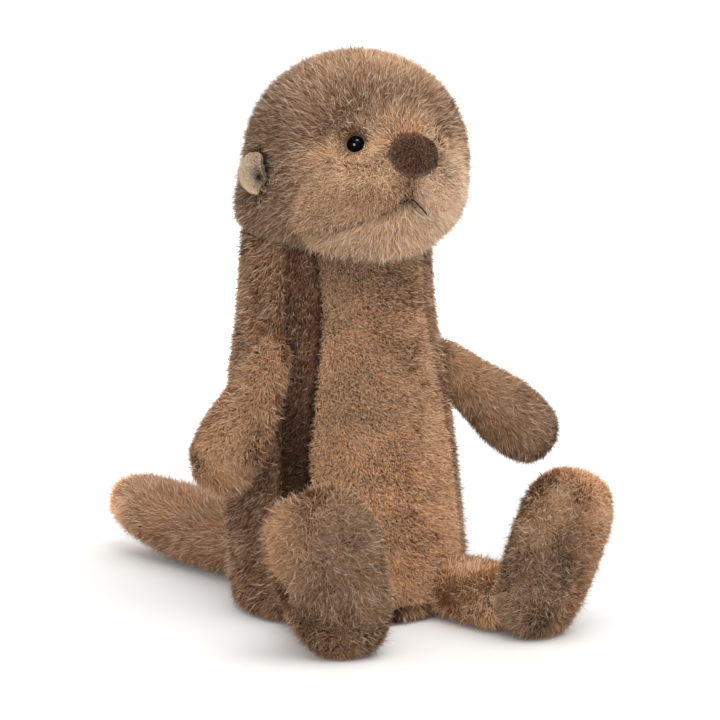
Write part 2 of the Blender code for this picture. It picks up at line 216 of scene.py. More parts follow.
def pile_material(name, shades, sheen=0.0):
    """Fibres that take the cloth's dye along their length and pale at the tip, darkened towards
    the root by painted shade, as shade falls deep in the pile. The attributes are made with the
    tufts: one holds the dye with its painted light and shade, along runs from root to tip, and
    frost is how pale that tuft's tip is."""
    made, nodes, shader = new_material(name)
    along = add_node(nodes, "Attribute", attribute_name="along")
    frost = add_node(nodes, "Attribute", attribute_name="frost")
    shade = ramp_node(nodes, shades)
    tip = ramp_node(nodes, ((0.25, 0.0), (0.70, 1.0)))
    dyed = dyed_node(nodes)
    pale = add_node(nodes, "Math", operation='MULTIPLY')
    frosted = add_node(nodes, "Mix", data_type='RGBA', blend_type='MIX')
    put(frosted, {"B": (*SILVER, 1.0)})
    wire(along, "Fac", shade, "Fac")
    wire(along, "Fac", tip, "Fac")
    wire(shade, "Color", dyed, "B")
    wire(tip, "Color", pale, 0)
    wire(frost, "Fac", pale, 1)
    wire(pale, "Value", frosted, "Factor")
    wire(dyed, "Result", frosted, "A")
    wire(frosted, "Result", shader, "Base Color")
    put(shader, {"Roughness": 0.75, "Specular IOR Level": 0.08, "Sheen Weight": sheen,
                 "Sheen Roughness": 0.45, "Sheen Tint": (*CREAM, 1.0)})
    return made


def backing_material(name):
    """The knitted backing that the pile grows from, seen only between the tufts, and darkened as
    painted shade in the gaps between them.
    """
    made, nodes, shader = new_material(name)
    knit = add_node(nodes, "TexNoise", {"Scale": 900.0})
    shade = ramp_node(nodes, ((0.3, 0.16), (0.7, 0.34)))
    dyed = dyed_node(nodes)
    bumps = add_node(nodes, "Bump", {"Strength": 0.5, "Distance": 0.3 * MM})
    wire(knit, "Fac", shade, "Fac")
    wire(shade, "Color", dyed, "B")
    wire(dyed, "Result", shader, "Base Color")
    wire(knit, "Fac", bumps, "Height")
    wire(bumps, "Normal", shader, "Normal")
    put(shader, {"Roughness": 0.9})
    return made


def bead_material():
    """Black moulded plastic, polished."""
    made, nodes, shader = new_material("bead_plastic")
    wear = add_node(nodes, "TexNoise", {"Scale": 600.0})
    rough = ramp_node(nodes, ((0.4, 0.04), (0.7, 0.09)))
    wire(wear, "Fac", rough, "Fac")
    wire(rough, "Color", shader, "Roughness")
    put(shader, {"Base Color": (0.0001, 0.0001, 0.0001, 1.0), "Specular IOR Level": 0.03})
    return made


def thread_material():
    made, nodes, shader = new_material("black_thread")
    strand = add_node(nodes, "TexNoise", {"Scale": 2500.0})
    tone = ramp_node(nodes, ((0.3, 0.003), (0.75, 0.012)))
    wire(strand, "Fac", tone, "Fac")
    wire(tone, "Color", shader, "Base Color")
    put(shader, {"Roughness": 0.7, "Specular IOR Level": 0.1})
    return made


# ---------------------------------------------------------------- where things are

def middle(node):
    low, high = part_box(node)
    return np.array((low + high) / 2.0)


def size(node):
    low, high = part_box(node)
    return np.array(high - low)


NOSE = middle("nose")
HEAD = middle("head")
TRUNK = middle("torso")
DOWN = np.array((0.0, 0.0, -1.0))
ACROSS = unit((middle("ear_left") - middle("ear_right")) * (1.0, 1.0, 0.0))   # to its left
FORWARD = np.array((ACROSS[1], -ACROSS[0], 0.0))
BETWEEN_EARS = (middle("ear_left") + middle("ear_right")) / 2.0
COMBED_FROM = NOSE - FORWARD * 8.0 * MM      # the head's pile lies away from here

# Lines on the face: millimetres to the left of its middle, and above the nose's middle. The
# mouth is lower on its left, as it was stitched.
MUZZLE_HALF = ((0, 4), (10, 2), (20, -2.5), (27, -1.5), (34, -6), (38, -14), (40.5, -22),
               (41.5, -42))
MUZZLE_EDGE = tuple((-side, up) for side, up in reversed(MUZZLE_HALF[1:])) + MUZZLE_HALF
MOUTH_LINE = ((-37, -36), (-23, -29.8), (-17.8, -26.2), (-14.6, -24.4), (-10.8, -23),
              (-7.7, -21.6), (-4.1, -19.8), (-0.3, -18), (1.8, -19.7), (4.1, -21.8),
              (7.4, -24.5), (9.8, -26.9), (14, -29.5), (20, -32), (37, -37))
FACE_BACK = -33.0            # the muzzle's panels end this far behind the nose
GUSSET_TURN = 60.0           # degrees round from the front to the seam behind each arm
PANEL_LAP = 1.8              # millimetres by which the belly's cloth laps over the gusset
GROOVE = -0.3                # millimetres to the left at which the groove under the nose runs
SOLE_HALF = (18.0 * MM, 38.0 * MM)     # half a sole's width and height


def face_map(points):
    """Millimetres to the left of the face's middle, in front of the nose and above it."""
    away = (points - NOSE) / MM
    return (points - BETWEEN_EARS) @ ACROSS / MM, away @ FORWARD, away[:, 2]


def above(line, points):
    """Millimetres above a line on the face, and how far forward on the head that is, 0 to 1."""
    sideways, forward, up = face_map(points)
    height = up - np.interp(sideways, *zip(*line))
    return height, ramp(FACE_BACK - 3.0, FACE_BACK + 3.0, forward)


def in_muzzle(points):
    height, front = above(MUZZLE_EDGE, points)
    return ramp(-0.8, 0.8, -height) * front


def in_chin(points):
    height, front = above(MOUTH_LINE, points)
    return ramp(-0.6, 0.6, -height) * front


def trunk_slices():
    """For heights up the trunk: how wide it is, how deep, and where its middle is."""
    points = np.concatenate([mesh_arrays(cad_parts[name].data)[0] for name in BODY])
    rows = []
    for height in np.linspace(0.030, points[:, 2].max() - 0.020, 9):
        near = points[np.abs(points[:, 2] - height) < 0.008]
        front, back = near[:, 1].min(), near[:, 1].max()
        rows.append((height, np.abs(near[:, 0]).max(), (back - front) / 2.0,
                     (back + front) / 2.0))
    return np.array(rows).T


def trunk_turn(points):
    """Degrees round the trunk from its front, the same on either side."""
    heights, *slices = TRUNK_SLICES
    wide, deep, centre = (np.interp(points[:, 2], heights, row) for row in slices)
    return np.degrees(np.arctan2(np.abs(points[:, 0]) / wide, (centre - points[:, 1]) / deep))


def bump(distance, width):
    return np.exp(-(distance / width) ** 2)


def head_crease(points):
    """How deep, from 0 to 1, the seams of the face pull the skin in."""
    sideways, _, up = face_map(points)
    mouth, front = above(MOUTH_LINE, points)
    edge, _ = above(MUZZLE_EDGE, points)
    lip = bump(mouth, 1.3) * front * (1.0 - 0.85 * ramp(4.0, 20.0, -sideways))
    lip *= 1.0 - 0.8 * ramp(9.0, 16.0, sideways)
    groove = bump(sideways - GROOVE, 1.1) * ramp(-19.5, -17.5, up) * ramp(-7.5, -9.0, up)
    return np.maximum(np.maximum(lip, groove * 1.3), 0.06 * bump(edge, 2.4) * front)


def torso_crease(points):
    seam = (trunk_turn(points) - GUSSET_TURN) * 0.8
    return np.maximum(bump(beyond_panel(points) - 0.3, 0.55), 0.7 * bump(seam, 1.0))


def beyond_panel(points):
    """Millimetres beyond the edge of the belly's cloth, less than nothing on it."""
    trunk, belly = (nearest(node_tree([name]), points)[0] / MM for name in BODY)
    return np.where(belly > trunk, belly, -trunk) - PANEL_LAP


def sole_crease(points):
    """A seam up the lower half of the left foot's sole."""
    low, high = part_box("foot_left")
    height = (points[:, 2] - low.z) / (high.z - low.z)
    front = ramp(0.0, 5.0, (points - middle("foot_left")) @ sole_way("foot_left") / MM)
    return bump(sole_aside("foot_left", points) / MM, 1.6) * ramp(0.62, 0.45, height) * front


def sole_way(node):
    """Which way a foot's sole faces."""
    return unit((middle(node) - TRUNK) * (1.0, 1.0, 0.0))


def sole_aside(node, points):
    """How far each point is to one side of the sole's middle."""
    way = sole_way(node)
    return (points - middle(node)) @ np.array((-way[1], way[0], 0.0))


# ---------------------------------------------------------------- skins

def mesh_arrays(mesh):
    """Corner points, vertex normals and triangles of a mesh."""
    mesh.calc_loop_triangles()
    points = np.empty(len(mesh.vertices) * 3, np.float32)
    mesh.vertices.foreach_get("co", points)
    normals = np.empty(len(mesh.vertices) * 3, np.float32)
    mesh.vertex_normals.foreach_get("vector", normals)
    triangles = np.empty(len(mesh.loop_triangles) * 3, np.int32)
    mesh.loop_triangles.foreach_get("vertices", triangles)
    return (points.reshape(-1, 3).astype(float), normals.reshape(-1, 3).astype(float),
            triangles.reshape(-1, 3))


def node_tree(names):
    """A search tree over the surfaces of some CAD nodes."""
    points, faces = [], []
    for name in names:
        some, _, triangles = mesh_arrays(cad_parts[name].data)
        faces += (triangles + len(points)).tolist()
        points += some.tolist()
    return BVHTree.FromPolygons(points, faces)


def nearest(tree, points):
    """The nearest place on a surface to each point: its distance, its normal and where it is."""
    places, facing, _, gaps = zip(*(tree.find_nearest(point) for point in points.tolist()))
    return np.array(gaps), np.array(facing), np.array(places)


def outside(tree, points):
    """How far each point is outside a closed surface; less than nothing inside it."""
    gap, facing, places = nearest(tree, points)
    return gap * np.sign(dot(points - places, facing)[:, 0])


TRUNK_SLICES = trunk_slices()
FITTINGS = node_tree([*EYES, "nose"])


def welded_copy(grown):
    """Solids as one mesh, each grown by the given depth so that they run into each other."""
    whole = bmesh.new()
    for name, grow in grown.items():
        part = bmesh.new()
        part.from_mesh(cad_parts[name].data)
        bmesh.ops.remove_doubles(part, verts=part.verts, dist=0.01 * MM)
        part.normal_update()
        for vertex in part.verts:
            vertex.co += vertex.normal * grow
        mesh = bpy.data.meshes.new("part")
        part.to_mesh(mesh)
        part.free()
        whole.from_mesh(mesh)
        bpy.data.meshes.remove(mesh)
    made = bpy.data.meshes.new("whole")
    whole.to_mesh(made)
    whole.free()
    return made


def evaluated(piece):
    """The piece's mesh with its modifiers applied."""
    depsgraph = bpy.context.evaluated_depsgraph_get()
    mesh = bpy.data.meshes.new_from_object(piece.evaluated_get(depsgraph))
    piece.modifiers.clear()
    piece.data = mesh
    return mesh


def link(name, data):
    piece = bpy.data.objects.new(name, data)
    bpy.context.scene.collection.objects.link(piece)
    return piece


def dress(piece, look):
    piece.data.materials.clear()
    piece.data.materials.append(look)
    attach(piece, "root")


def unwrap(piece):
    """Unwraps the skin's own shape onto the map that the tufts share."""
    piece.data.uv_layers.new(name="OFBake")
    bpy.context.view_layer.objects.active = piece
    bpy.ops.object.mode_set(mode='EDIT')
    bpy.ops.mesh.select_all(action='SELECT')
    bpy.ops.uv.smart_project(angle_limit=math.radians(66.0), island_margin=0.006)
    bpy.ops.object.mode_set(mode='OBJECT')


def build_skin(name, spec, others, coat):
    """A stuffed skin inside its solids: smooth, and sunk by its pile's depth where it is free.
    Where it is sewn to a neighbour it slides along the joint, and runs on into that neighbour."""
    grown = {node: spec["grow"] for node in spec["nodes"]}
    grown.update({node: -JOIN for node in spec["filled"]})
    piece = link(name + "_skin", welded_copy(grown))
    remesh = piece.modifiers.new("Remesh", 'REMESH')
    remesh.mode = 'VOXEL'
    remesh.voxel_size = spec["voxel"]
    smooth = piece.modifiers.new("Smooth", 'SMOOTH')
    smooth.factor = 0.5
    smooth.iterations = 6
    mesh = evaluated(piece)
    points, normals, _ = mesh_arrays(mesh)
    gap, facing, _ = nearest(others, points)
    sewn = (1.0 - ramp(*SEAM_GAP, gap)) * ramp(0.5, 0.85, -dot(normals, facing)[:, 0])
    sinking = normals.copy()
    if spec["into"]:
        gap, facing, _ = nearest(node_tree(spec["into"]), points)
        joint = (1.0 - ramp(3.0 * MM, 6.0 * MM, gap))[:, None]
        joint = joint * ramp(0.7, 0.2, dot(normals, facing))
        along = normals - facing * dot(normals, facing)
        along /= np.maximum(np.linalg.norm(along, axis=1, keepdims=True), 0.35)
        sinking = normals * (1.0 - joint) + along * joint
        meeting = (1.0 - ramp(*SEAM_GAP, gap)) * joint[:, 0]
        points = points - facing * meeting[:, None] * SEWN_INTO
    depth = coat["length"](points) * SINK + coat["crease"](points) * coat["crease_depth"]
    points = points - sinking * depth[:, None]
    points = coat["shape"](points)
    points[:, 2] = np.maximum(points[:, 2], FLOOR_GAP)
    mesh.vertices.foreach_set("co", points.ravel())
    mesh.update()
    mesh.shade_smooth()
    unwrap(piece)
    points, normals, triangles = mesh_arrays(piece.data)
    maps = np.empty(len(piece.data.loops) * 2, np.float32)
    piece.data.uv_layers["OFBake"].data.foreach_get("uv", maps)
    corners = np.empty(len(piece.data.loop_triangles) * 3, np.int32)
    piece.data.loop_triangles.foreach_get("loops", corners)
    return dict(piece=piece, points=points, normals=normals, triangles=triangles, sewn=sewn,
                maps=maps.reshape(-1, 2)[corners.reshape(-1, 3)])


# ---------------------------------------------------------------- the lie of the coat

def brushed_off(points, centres, push, far, close):
    """Which way the pile is brushed near some centres: off them, fully when as near as close."""
    way = np.zeros_like(points)
    for centre in centres:
        away = points - centre
        reach = np.linalg.norm(away, axis=1, keepdims=True)
        way += away / reach * push * ramp(far, close, reach)
    return way


def clearings():
    """Where the pile is kept short for the eyes: the left one's inner side stays overgrown."""
    return middle("eye_right"), middle("eye_left") + ACROSS * 4.0 * MM


def round_eyes(points):
    return brushed_off(points, clearings(), 4.0, 10.0 * MM, 6.5 * MM)


def round_ears(points):
    return brushed_off(points, [middle(ear) for ear in EARS], 2.5, 16.0 * MM, 11.0 * MM)


def face_flow(points, normals):
    """The head's pile is combed away from the nose, and hangs down at the back."""
    away = flat_to(normals, points - COMBED_FROM)
    behind = ramp(20.0, 70.0, -face_map(points)[1])[:, None]
    return away + behind * DOWN * 0.9 + round_eyes(points) + round_ears(points)


def muzzle_flow(points, normals):
    """Out from the groove under the nose, round the cheeks and down."""
    sideways = face_map(points)[0][:, None]
    source = COMBED_FROM - DOWN * 6.0 * MM
    parting = np.tanh((sideways - GROOVE) / 1.5) * ramp(14.0, 4.0, np.abs(sideways))
    parting += sideways / 60.0
    return (flat_to(normals, points - source) + ACROSS * parting + DOWN * 0.2
            + round_eyes(points))


def chin_flow(points, normals):
    """Down from the top of the mouth, fanning out."""
    sideways = face_map(points)[0][:, None]
    return DOWN + ACROSS * sideways / 30.0 - FORWARD * 0.1


def trunk_flow(points, normals):
    return np.broadcast_to(DOWN, points.shape) + swirl(points, 0.016, 31) * 0.5


def limb_flow(start, end):
    """Pile combed from a limb's root to its tip, fanning out round the tip."""
    start = np.array(start)
    end = np.array(end)
    way = unit(end - start)

    def flow(points, normals):
        reach = dot(points - start, way[None]) / np.linalg.norm(end - start)
        fan = unit(points - end - (end - start) * 0.02)
        return way * (1.0 - 0.4 * ramp(0.8, 1.05, reach)) + fan * ramp(0.75, 1.0, reach)
    return flow


def foot_flow(node):
    """On the sole the pile is rubbed every way, and at the rim it fans outwards."""
    def flow(points, normals):
        way = sole_way(node)
        spine = middle(node) - way * 6.0 * MM
        spine = spine - DOWN * np.clip(points[:, 2:3] - spine[2], -0.020, 0.024)
        away = (points - spine) / (16.0 * MM)
        fan = away * ramp(0.2, 1.1, np.linalg.norm(away, axis=1, keepdims=True))
        return fan + swirl(points, 0.011, 41) * 0.5 + DOWN * 0.1
    return flow


def nose_flow(points, normals):
    return flat_to(normals, points - NOSE - FORWARD * 4.0 * MM) + DOWN * 0.3


# ---------------------------------------------------------------- tufts

ROOT_DEPTH = 0.2 * MM        # a tuft starts this far under the backing
FITTING_GAP = 0.4 * MM       # no tuft is rooted nearer than this to a bead or the nose
ROUND_SHADING = 0.55         # how far a tuft is shaded as the surface it grows from


def sample(skin, faces, density, seed):
    """Roots spread evenly over some of a skin's faces, with their normals and map places."""
    rng = np.random.default_rng(SEED + seed)
    corners = skin["points"][skin["triangles"][faces]]
    areas = np.linalg.norm(np.cross(corners[:, 1] - corners[:, 0], corners[:, 2] - corners[:, 0]),
                           axis=1) / 2.0
    weights = np.cumsum(areas * density)
    count = int(weights[-1] * PILE_BUDGET)
    picks = (np.arange(count) + rng.random(count)) * weights[-1] / count
    chosen = np.minimum(np.searchsorted(weights, picks), len(faces) - 1)
    first = np.sqrt(rng.random(count))
    second = rng.random(count)
    shares = np.stack((1.0 - first, first * (1.0 - second), first * second), axis=1)[:, :, None]
    roots = np.sum(corners[chosen] * shares, axis=1)
    normals = unit(np.sum(skin["normals"][skin["triangles"][faces[chosen]]] * shares, axis=1))
    maps = np.sum(skin["maps"][faces[chosen]] * shares, axis=1)
    return roots, normals, maps, rng


def grow_tufts(name, skin, faces, coat, look, seed):
    """A coat piece: joined kites, each rooted in the skin, bent over in the coat's lie."""
    roots, normals, maps, rng = sample(skin, faces, coat["density"] / MM**2, seed)
    if name.startswith(("head", "muzzle", "chin")):
        clear = outside(FITTINGS, roots) > FITTING_GAP
        roots, normals, maps = roots[clear], normals[clear], maps[clear]
    count = len(roots)
    length = coat["length"](roots) * rng.normal(1.0, 0.14, count).clip(0.6, 1.5)
    guard = rng.random(count) < coat["guard_share"]
    length = np.where(guard, length * rng.uniform(1.1, 1.5, count), length)

    way = unit(coat["flow"](roots, normals))
    way = way + (swirl(roots, 0.006, 11) + swirl(roots, 0.016, 21)) * coat["unrest"]
    stray = (coat["scatter"] + guard * coat["stray"])[:, None]
    way = flat_to(normals, way + rng.normal(0.0, 1.0, (count, 3)) * stray)
    lift_low = np.radians(coat["lift"][0] + rng.normal(0.0, 9.0, count) + guard * 6.0)[:, None]
    lift_high = np.radians(coat["lift"][1] + rng.normal(0.0, 11.0, count) + guard * 20.0)[:, None]
    step = length[:, None] / 2.0
    knee = roots + (way * np.cos(lift_low) + normals * np.sin(lift_low)) * step
    tip = knee + (way * np.cos(lift_high) + normals * np.sin(lift_high)) * step

    gather = coat["gather"] * (1.0 - guard)[:, None]
    shift = lock_centres(roots, coat["lock"], seed) - roots
    shift -= normals * dot(shift, normals)
    knee += shift * gather * 0.4
    tip += shift * gather

    side = unit(np.cross(tip - roots, normals + rng.normal(0.0, 0.35, (count, 3))))
    width = coat["width"] * rng.uniform(0.7, 1.3, count)[:, None]
    width = np.where(guard[:, None], width * coat["guard_width"], width)
    width /= math.sqrt(PILE_BUDGET)
    points = np.stack((roots - normals * ROOT_DEPTH, knee + side * width / 2.0,
                       knee - side * width / 2.0, tip), axis=1)
    points[:, :, 2] = np.maximum(points[:, :, 2], FLOOR_GAP)

    lump = cloud(roots, 0.006, seed + 50) + cloud(roots, 0.015, 90) - 1.0
    tone = 1.06 + lump * coat["lumps"] + rng.normal(0.0, coat["mottle"], count)
    # Painted shade: each tuft's colour is darkened where the skin's creases and seams pull in.
    tone *= 1.0 - coat["crease_dark"] * coat["crease"](roots)
    shaded_marking = coat["dye_and_light"](roots, normals) * tone[:, None].clip(0.25, 1.8)
    frost = rng.random(count) ** 2 * coat["frost"]
    frost = np.where(guard, coat["guard_frost"] * rng.uniform(0.3, 1.0, count) ** 1.5, frost)
    frost *= ramp(0.0, 0.13, shaded_marking.mean(axis=1))
    mesh = join_tufts(name, points, normals, maps, shaded_marking, frost)
    dress(link(name, mesh), look)


KITE_FACES = np.array(((0, 1, 2), (2, 1, 3)))
KITE_ALONG = np.array((0.0, 0.5, 0.5, 1.0))
KITE_MAP = np.array(((0.5, 0.0), (1.0, 0.5), (0.0, 0.5), (0.5, 1.0))) - 0.5


def paint(mesh, dye_and_light):
    """Gives each corner point its dye, with the painted light and shade it carries, which the
    materials read.
    """
    colours = np.ones((len(dye_and_light), 4), np.float32)
    colours[:, :3] = dye_and_light
    attribute = mesh.attributes.new("shaded_marking", 'FLOAT_COLOR', 'POINT')
    attribute.data.foreach_set("color", colours.ravel())


def join_tufts(name, points, normals, maps, shaded_marking, frost):
    """One mesh of all the kites, each facing the way its skin does."""
    count = len(points)
    faces = (np.arange(count)[:, None, None] * 4 + KITE_FACES).reshape(-1, 3)
    outward = np.cross(points[:, 1] - points[:, 0], points[:, 2] - points[:, 0])
    wrong = dot(outward, normals)[:, 0] < 0.0
    points[wrong] = points[wrong][:, (0, 2, 1, 3)]
    mesh = bpy.data.meshes.new(name)
    mesh.vertices.add(count * 4)
    mesh.vertices.foreach_set("co", points.reshape(-1).astype(np.float32))
    mesh.loops.add(count * 6)
    mesh.loops.foreach_set("vertex_index", faces.reshape(-1).astype(np.int32))
    mesh.polygons.add(count * 2)
    mesh.polygons.foreach_set("loop_start", np.arange(count * 2, dtype=np.int32) * 3)
    mesh.update()
    kite = maps[:, None, :] + KITE_MAP * PATCH
    corners = kite.reshape(-1, 2)[faces.reshape(-1)].astype(np.float32)
    mesh.uv_layers.new(name="OFBake").data.foreach_set("uv", corners.ravel())
    paint(mesh, np.repeat(shaded_marking, 4, axis=0))
    for label, values in (("along", np.tile(KITE_ALONG, count)), ("frost", np.repeat(frost, 4))):
        attribute = mesh.attributes.new(label, 'FLOAT', 'POINT')
        attribute.data.foreach_set("value", values.astype(np.float32))
    mesh.shade_smooth()
    blade = unit(np.cross(points[:, 1] - points[:, 0], points[:, 2] - points[:, 0]))
    softened = unit(normals * ROUND_SHADING + blade * (1.0 - ROUND_SHADING))
    mesh.normals_split_custom_set_from_vertices(np.repeat(softened, 4, axis=0).tolist())
    return mesh


# ---------------------------------------------------------------- dyes

def blend(first, second, share):
    """From the first colour to the second by each point's share, 0 to 1."""
    share = np.asarray(share, float)
    if share.ndim == 1:
        share = share[:, None]
    return first * (1.0 - share) + second * share


def head_dye_and_light(points, normals):
    """Dark over the cheeks and brow, paler on the crown, the bridge, the muzzle and the chin. The
    paler crown and the pale under the eyes are partly painted light, and the muzzle's left lobe is
    painted paler as painted light.
    """
    sideways, forward, up = face_map(points)
    patches = (cloud(points, 0.022, 71) - 0.5) * 20.0
    # Paler on the crown: partly the cloth's colour, partly painted light from above.
    brow = ramp(42.0, 24.0, up + patches)
    colour = blend(TAN * 0.82, BROWN * 0.78, brow)
    side = ramp(-20.0, -38.0, forward) * (1.0 - 0.6 * ramp(-64.0, -78.0, forward))
    colour = blend(colour, BROWN * 0.46, side * ramp(34.0, 8.0, up + patches))
    from_nose = np.linalg.norm(points - NOSE, axis=1) / MM
    # Beside the bridge and under the eyes the cloth is paler, and partly painted light, where the
    # hollow beside the muzzle falls in shade.
    colour = blend(colour, TAN * 0.95, ramp(34.0, 16.0, from_nose) * ramp(22.0, 10.0, up))
    under_eye = ramp(50.0, 26.0, from_nose) * ramp(3.0, 9.0, np.abs(sideways))
    under_eye = under_eye * ramp(9.0, 1.0, up)
    colour = blend(colour, STRAW, under_eye)
    colour = blend(colour, OCHRE * 0.90, in_muzzle(points))
    # Painted light: the muzzle's left lobe is painted paler, as the side the light falls on.
    colour = blend(colour, blend(CREAM, SILVER, 0.35),
                   in_muzzle(points) * ramp(0.0, 5.0, sideways))
    # The same pale straw, partly painted light, lower down beside the nose on its right.
    colour = blend(colour, STRAW * 1.1, under_eye * 0.8 * ramp(-17.0, -8.0, up)
                   * ramp(-5.0, -12.0, sideways))
    height, front = above(MOUTH_LINE, points)
    soft = 0.6 + 3.0 * ramp(8.0, 24.0, np.abs(sideways))
    colour = blend(colour, CREAM * 0.84, ramp(-soft, soft, -height) * front)
    return colour * (1.0 - 0.35 * cloud(points, 0.012, 77) ** 2)[:, None]


def torso_dye_and_shade(points, normals):
    """Dark gussets down the sides, the right one painted darker as painted shade on the side away
    from the light, darkest low down on the right where painted shade falls under the arm, and a
    back that is lighter but for painted shade at its nape, under the head, and at its hips, low
    down."""
    turn = trunk_turn(points)
    low = ramp(0.15, 0.05, points[:, 2])
    # Painted shade: the right gusset darker than the left, and darker still low down.
    near = ramp(0.005, -0.005, points[:, 0])
    gusset = blend(BROWN, blend(UMBER * 0.92, UMBER * 0.28, low), near)
    # Painted shade at the hips, low down, and at the nape, under the head.
    hip_shade = ramp(0.080, 0.050, points[:, 2]) * ramp(110.0, 80.0, turn)
    nape_shade = ramp(0.150, 0.170, points[:, 2])
    back = blend(BROWN * 0.9, BROWN * 0.76, nape_shade)
    back = blend(back, UMBER * 1.25, hip_shade * ramp(0.004, 0.020, points[:, 2]))
    return blend(gusset, back, ramp(GUSSET_TURN - 1.5, GUSSET_TURN + 1.5, turn))


def belly_dye_and_light(points, normals):
    """Golden, in faint ripples across, with painted light that makes it lighter low down, as light
    thrown up from the floor, and painted shade that makes it darker under the chin.
    """
    ripple = cloud(points * (0.3, 0.3, 1.0), 0.007, 83) - 0.5
    # Painted light low down, as from the floor below, and painted shade under the chin.
    level = 1.06 + 0.36 * ramp(0.100, 0.060, points[:, 2]) - 0.26 * ramp(0.14, 0.16, points[:, 2])
    return OCHRE * (level * 1.08 + ripple * 0.4)[:, None]


def right_arm_dye(points, normals):
    return TAN * (0.94 - 0.12 * ramp(95.0, 60.0, points[:, 2] / MM))[:, None]


def left_arm_dye(points, normals):
    """Browner than the other, and more so towards the paw."""
    out = ramp(0.045, 0.100, points[:, 0])
    return blend(TAN * 0.8, BROWN * 0.58, out)


def leg_dye_and_light(points, normals):
    """Paler on the inner side: painted light, where the leg lies in shade between the belly and
    the foot.
    """
    outer = ramp(-0.2, 0.5, normals[:, 0] * np.sign(points[:, 0]))
    return blend(STRAW * 1.05, TAN, outer)


def foot_dye_and_light(node):
    """Brown, paler round the rim of the sole, and on the left foot painted light and shade set its
    level: darker towards either side of the sole and paler high up.
    """
    def dye_and_light(points, normals):
        aside = sole_aside(node, points) / SOLE_HALF[0]
        height = (points[:, 2] - middle(node)[2]) / SOLE_HALF[1]
        reach = np.sqrt(aside**2 + height**2) + (cloud(points, 0.010, 61) - 0.5) * 0.7
        pale = ramp(0.45, 1.25, reach)
        if node == "foot_right":
            return blend(BROWN * 0.56, TAN * 0.95, pale * ramp(1.3, -0.5, aside))
        # Painted light and shade on the left foot: darker towards either side of the sole, most on
        # its inner side, and paler high up.
        level = (0.62 + 0.62 * ramp(-0.55, -0.2, aside) - 0.45 * ramp(0.2, 0.9, aside)
                 + 0.36 * ramp(-0.2, 0.7, height))
        return blend(BROWN * 0.85, STRAW * 0.92, pale * 0.4) * level[:, None]
    return dye_and_light


def tail_dye(points, normals):
    """Brown, with a pale tip and a dark patch on top just short of it."""
    along = np.linalg.norm(points - tail_tip(), axis=1) / MM
    patch = bump(along - 22.0, 9.0) * ramp(0.2, 0.8, normals[:, 2])
    pale = blend(STRAW, SILVER, 0.5) * 1.58
    return blend(blend(BROWN * 1.15, pale, ramp(40.0, 6.0, along)), UMBER, patch * 0.35)


def nose_dye(points, normals):
    return np.broadcast_to(COCOA, points.shape)


# ---------------------------------------------------------------- ears

EAR_FLARE = math.radians(34.0)
EAR_HOLLOW = np.array((-3.6, -1.6))      # millimetres behind and above the ear's middle


def ear_axes(node):
    """Which way the ear faces, and which way its rear edge lies."""
    side = 1.0 if middle(node)[0] > HEAD[0] else -1.0
    facing = side * ACROSS * math.cos(EAR_FLARE) + FORWARD * math.sin(EAR_FLARE)
    rearward = side * ACROSS * math.sin(EAR_FLARE) - FORWARD * math.cos(EAR_FLARE)
    return facing, rearward


def ear_map(node, points):
    """Millimetres behind the ear's middle and above it, and how far out."""
    facing, rearward = ear_axes(node)
    away = (points - middle(node)) / MM
    return np.stack((away @ rearward, away[:, 2]), axis=1), away @ facing


def ear_shape(node):
    """Curls the ear's rim round a hollow that opens forwards and down."""
    def shape(points):
        flat, out = ear_map(node, points)
        forward = np.maximum(-flat[:, 0] - 1.0, 0.0) * ramp(-5.5, -2.0, flat[:, 1])
        forward = forward[:, None] * MM
        turned = 0.24 if node == "ear_right" else 0.05
        points = points + (ear_axes(node)[0] * turned - ear_axes(node)[1] * 0.3) * forward
        outer = ramp(-1.5, 1.0, out)
        away = flat - EAR_HOLLOW
        reach = np.linalg.norm(away, axis=1)
        opening = ramp(0.2, 0.9, -away.sum(axis=1) / math.sqrt(2.0) / np.maximum(reach, 0.5))
        rim = bump(reach - 6.0, 3.6) * (1.0 - opening) * 1.8
        hollow = bump(reach, 2.6) * 2.6 + opening * ramp(1.0, 4.0, reach) * 0.5
        pebbles = (cloud(points, 0.0018, 88) - 0.5) * 0.6
        return points + ear_axes(node)[0] * ((rim - hollow + pebbles) * outer * MM)[:, None]
    return shape


def ear_dye_and_shade(node):
    def dye_and_light(points, normals):
        flat, _ = ear_map(node, points)
        # Painted shade: the ear is darkened in its hollow.
        deep = bump(np.linalg.norm(flat - EAR_HOLLOW, axis=1), 2.4)
        quilting = cloud(points, 0.0018, 87) - 0.5
        return blend(BEIGE, UMBER * 0.25, deep) * (0.88 + 0.4 * quilting)[:, None]
    return dye_and_light


def ear_flow(node):
    def flow(points, normals):
        hollow = middle(node) + (ear_axes(node)[1] * EAR_HOLLOW[0] - DOWN * EAR_HOLLOW[1]) * MM
        return flat_to(normals, points - hollow)
    return flow


# ---------------------------------------------------------------- the coat, region by region

def even(value):
    return lambda points: np.full(len(points), value)


def as_is(points):
    return points


def beside_eyes(points):
    """How far each point is from the nearer bead."""
    return np.min([np.linalg.norm(points - centre, axis=1) - size("eye_left")[2] / 2.0
                   for centre in clearings()], axis=0)


def beside_ears(points):
    """How far each point is from the nearer ear's rim, in millimetres."""
    return np.min([np.linalg.norm(points - middle(ear), axis=1) for ear in EARS],
                  axis=0) / MM - 8.0


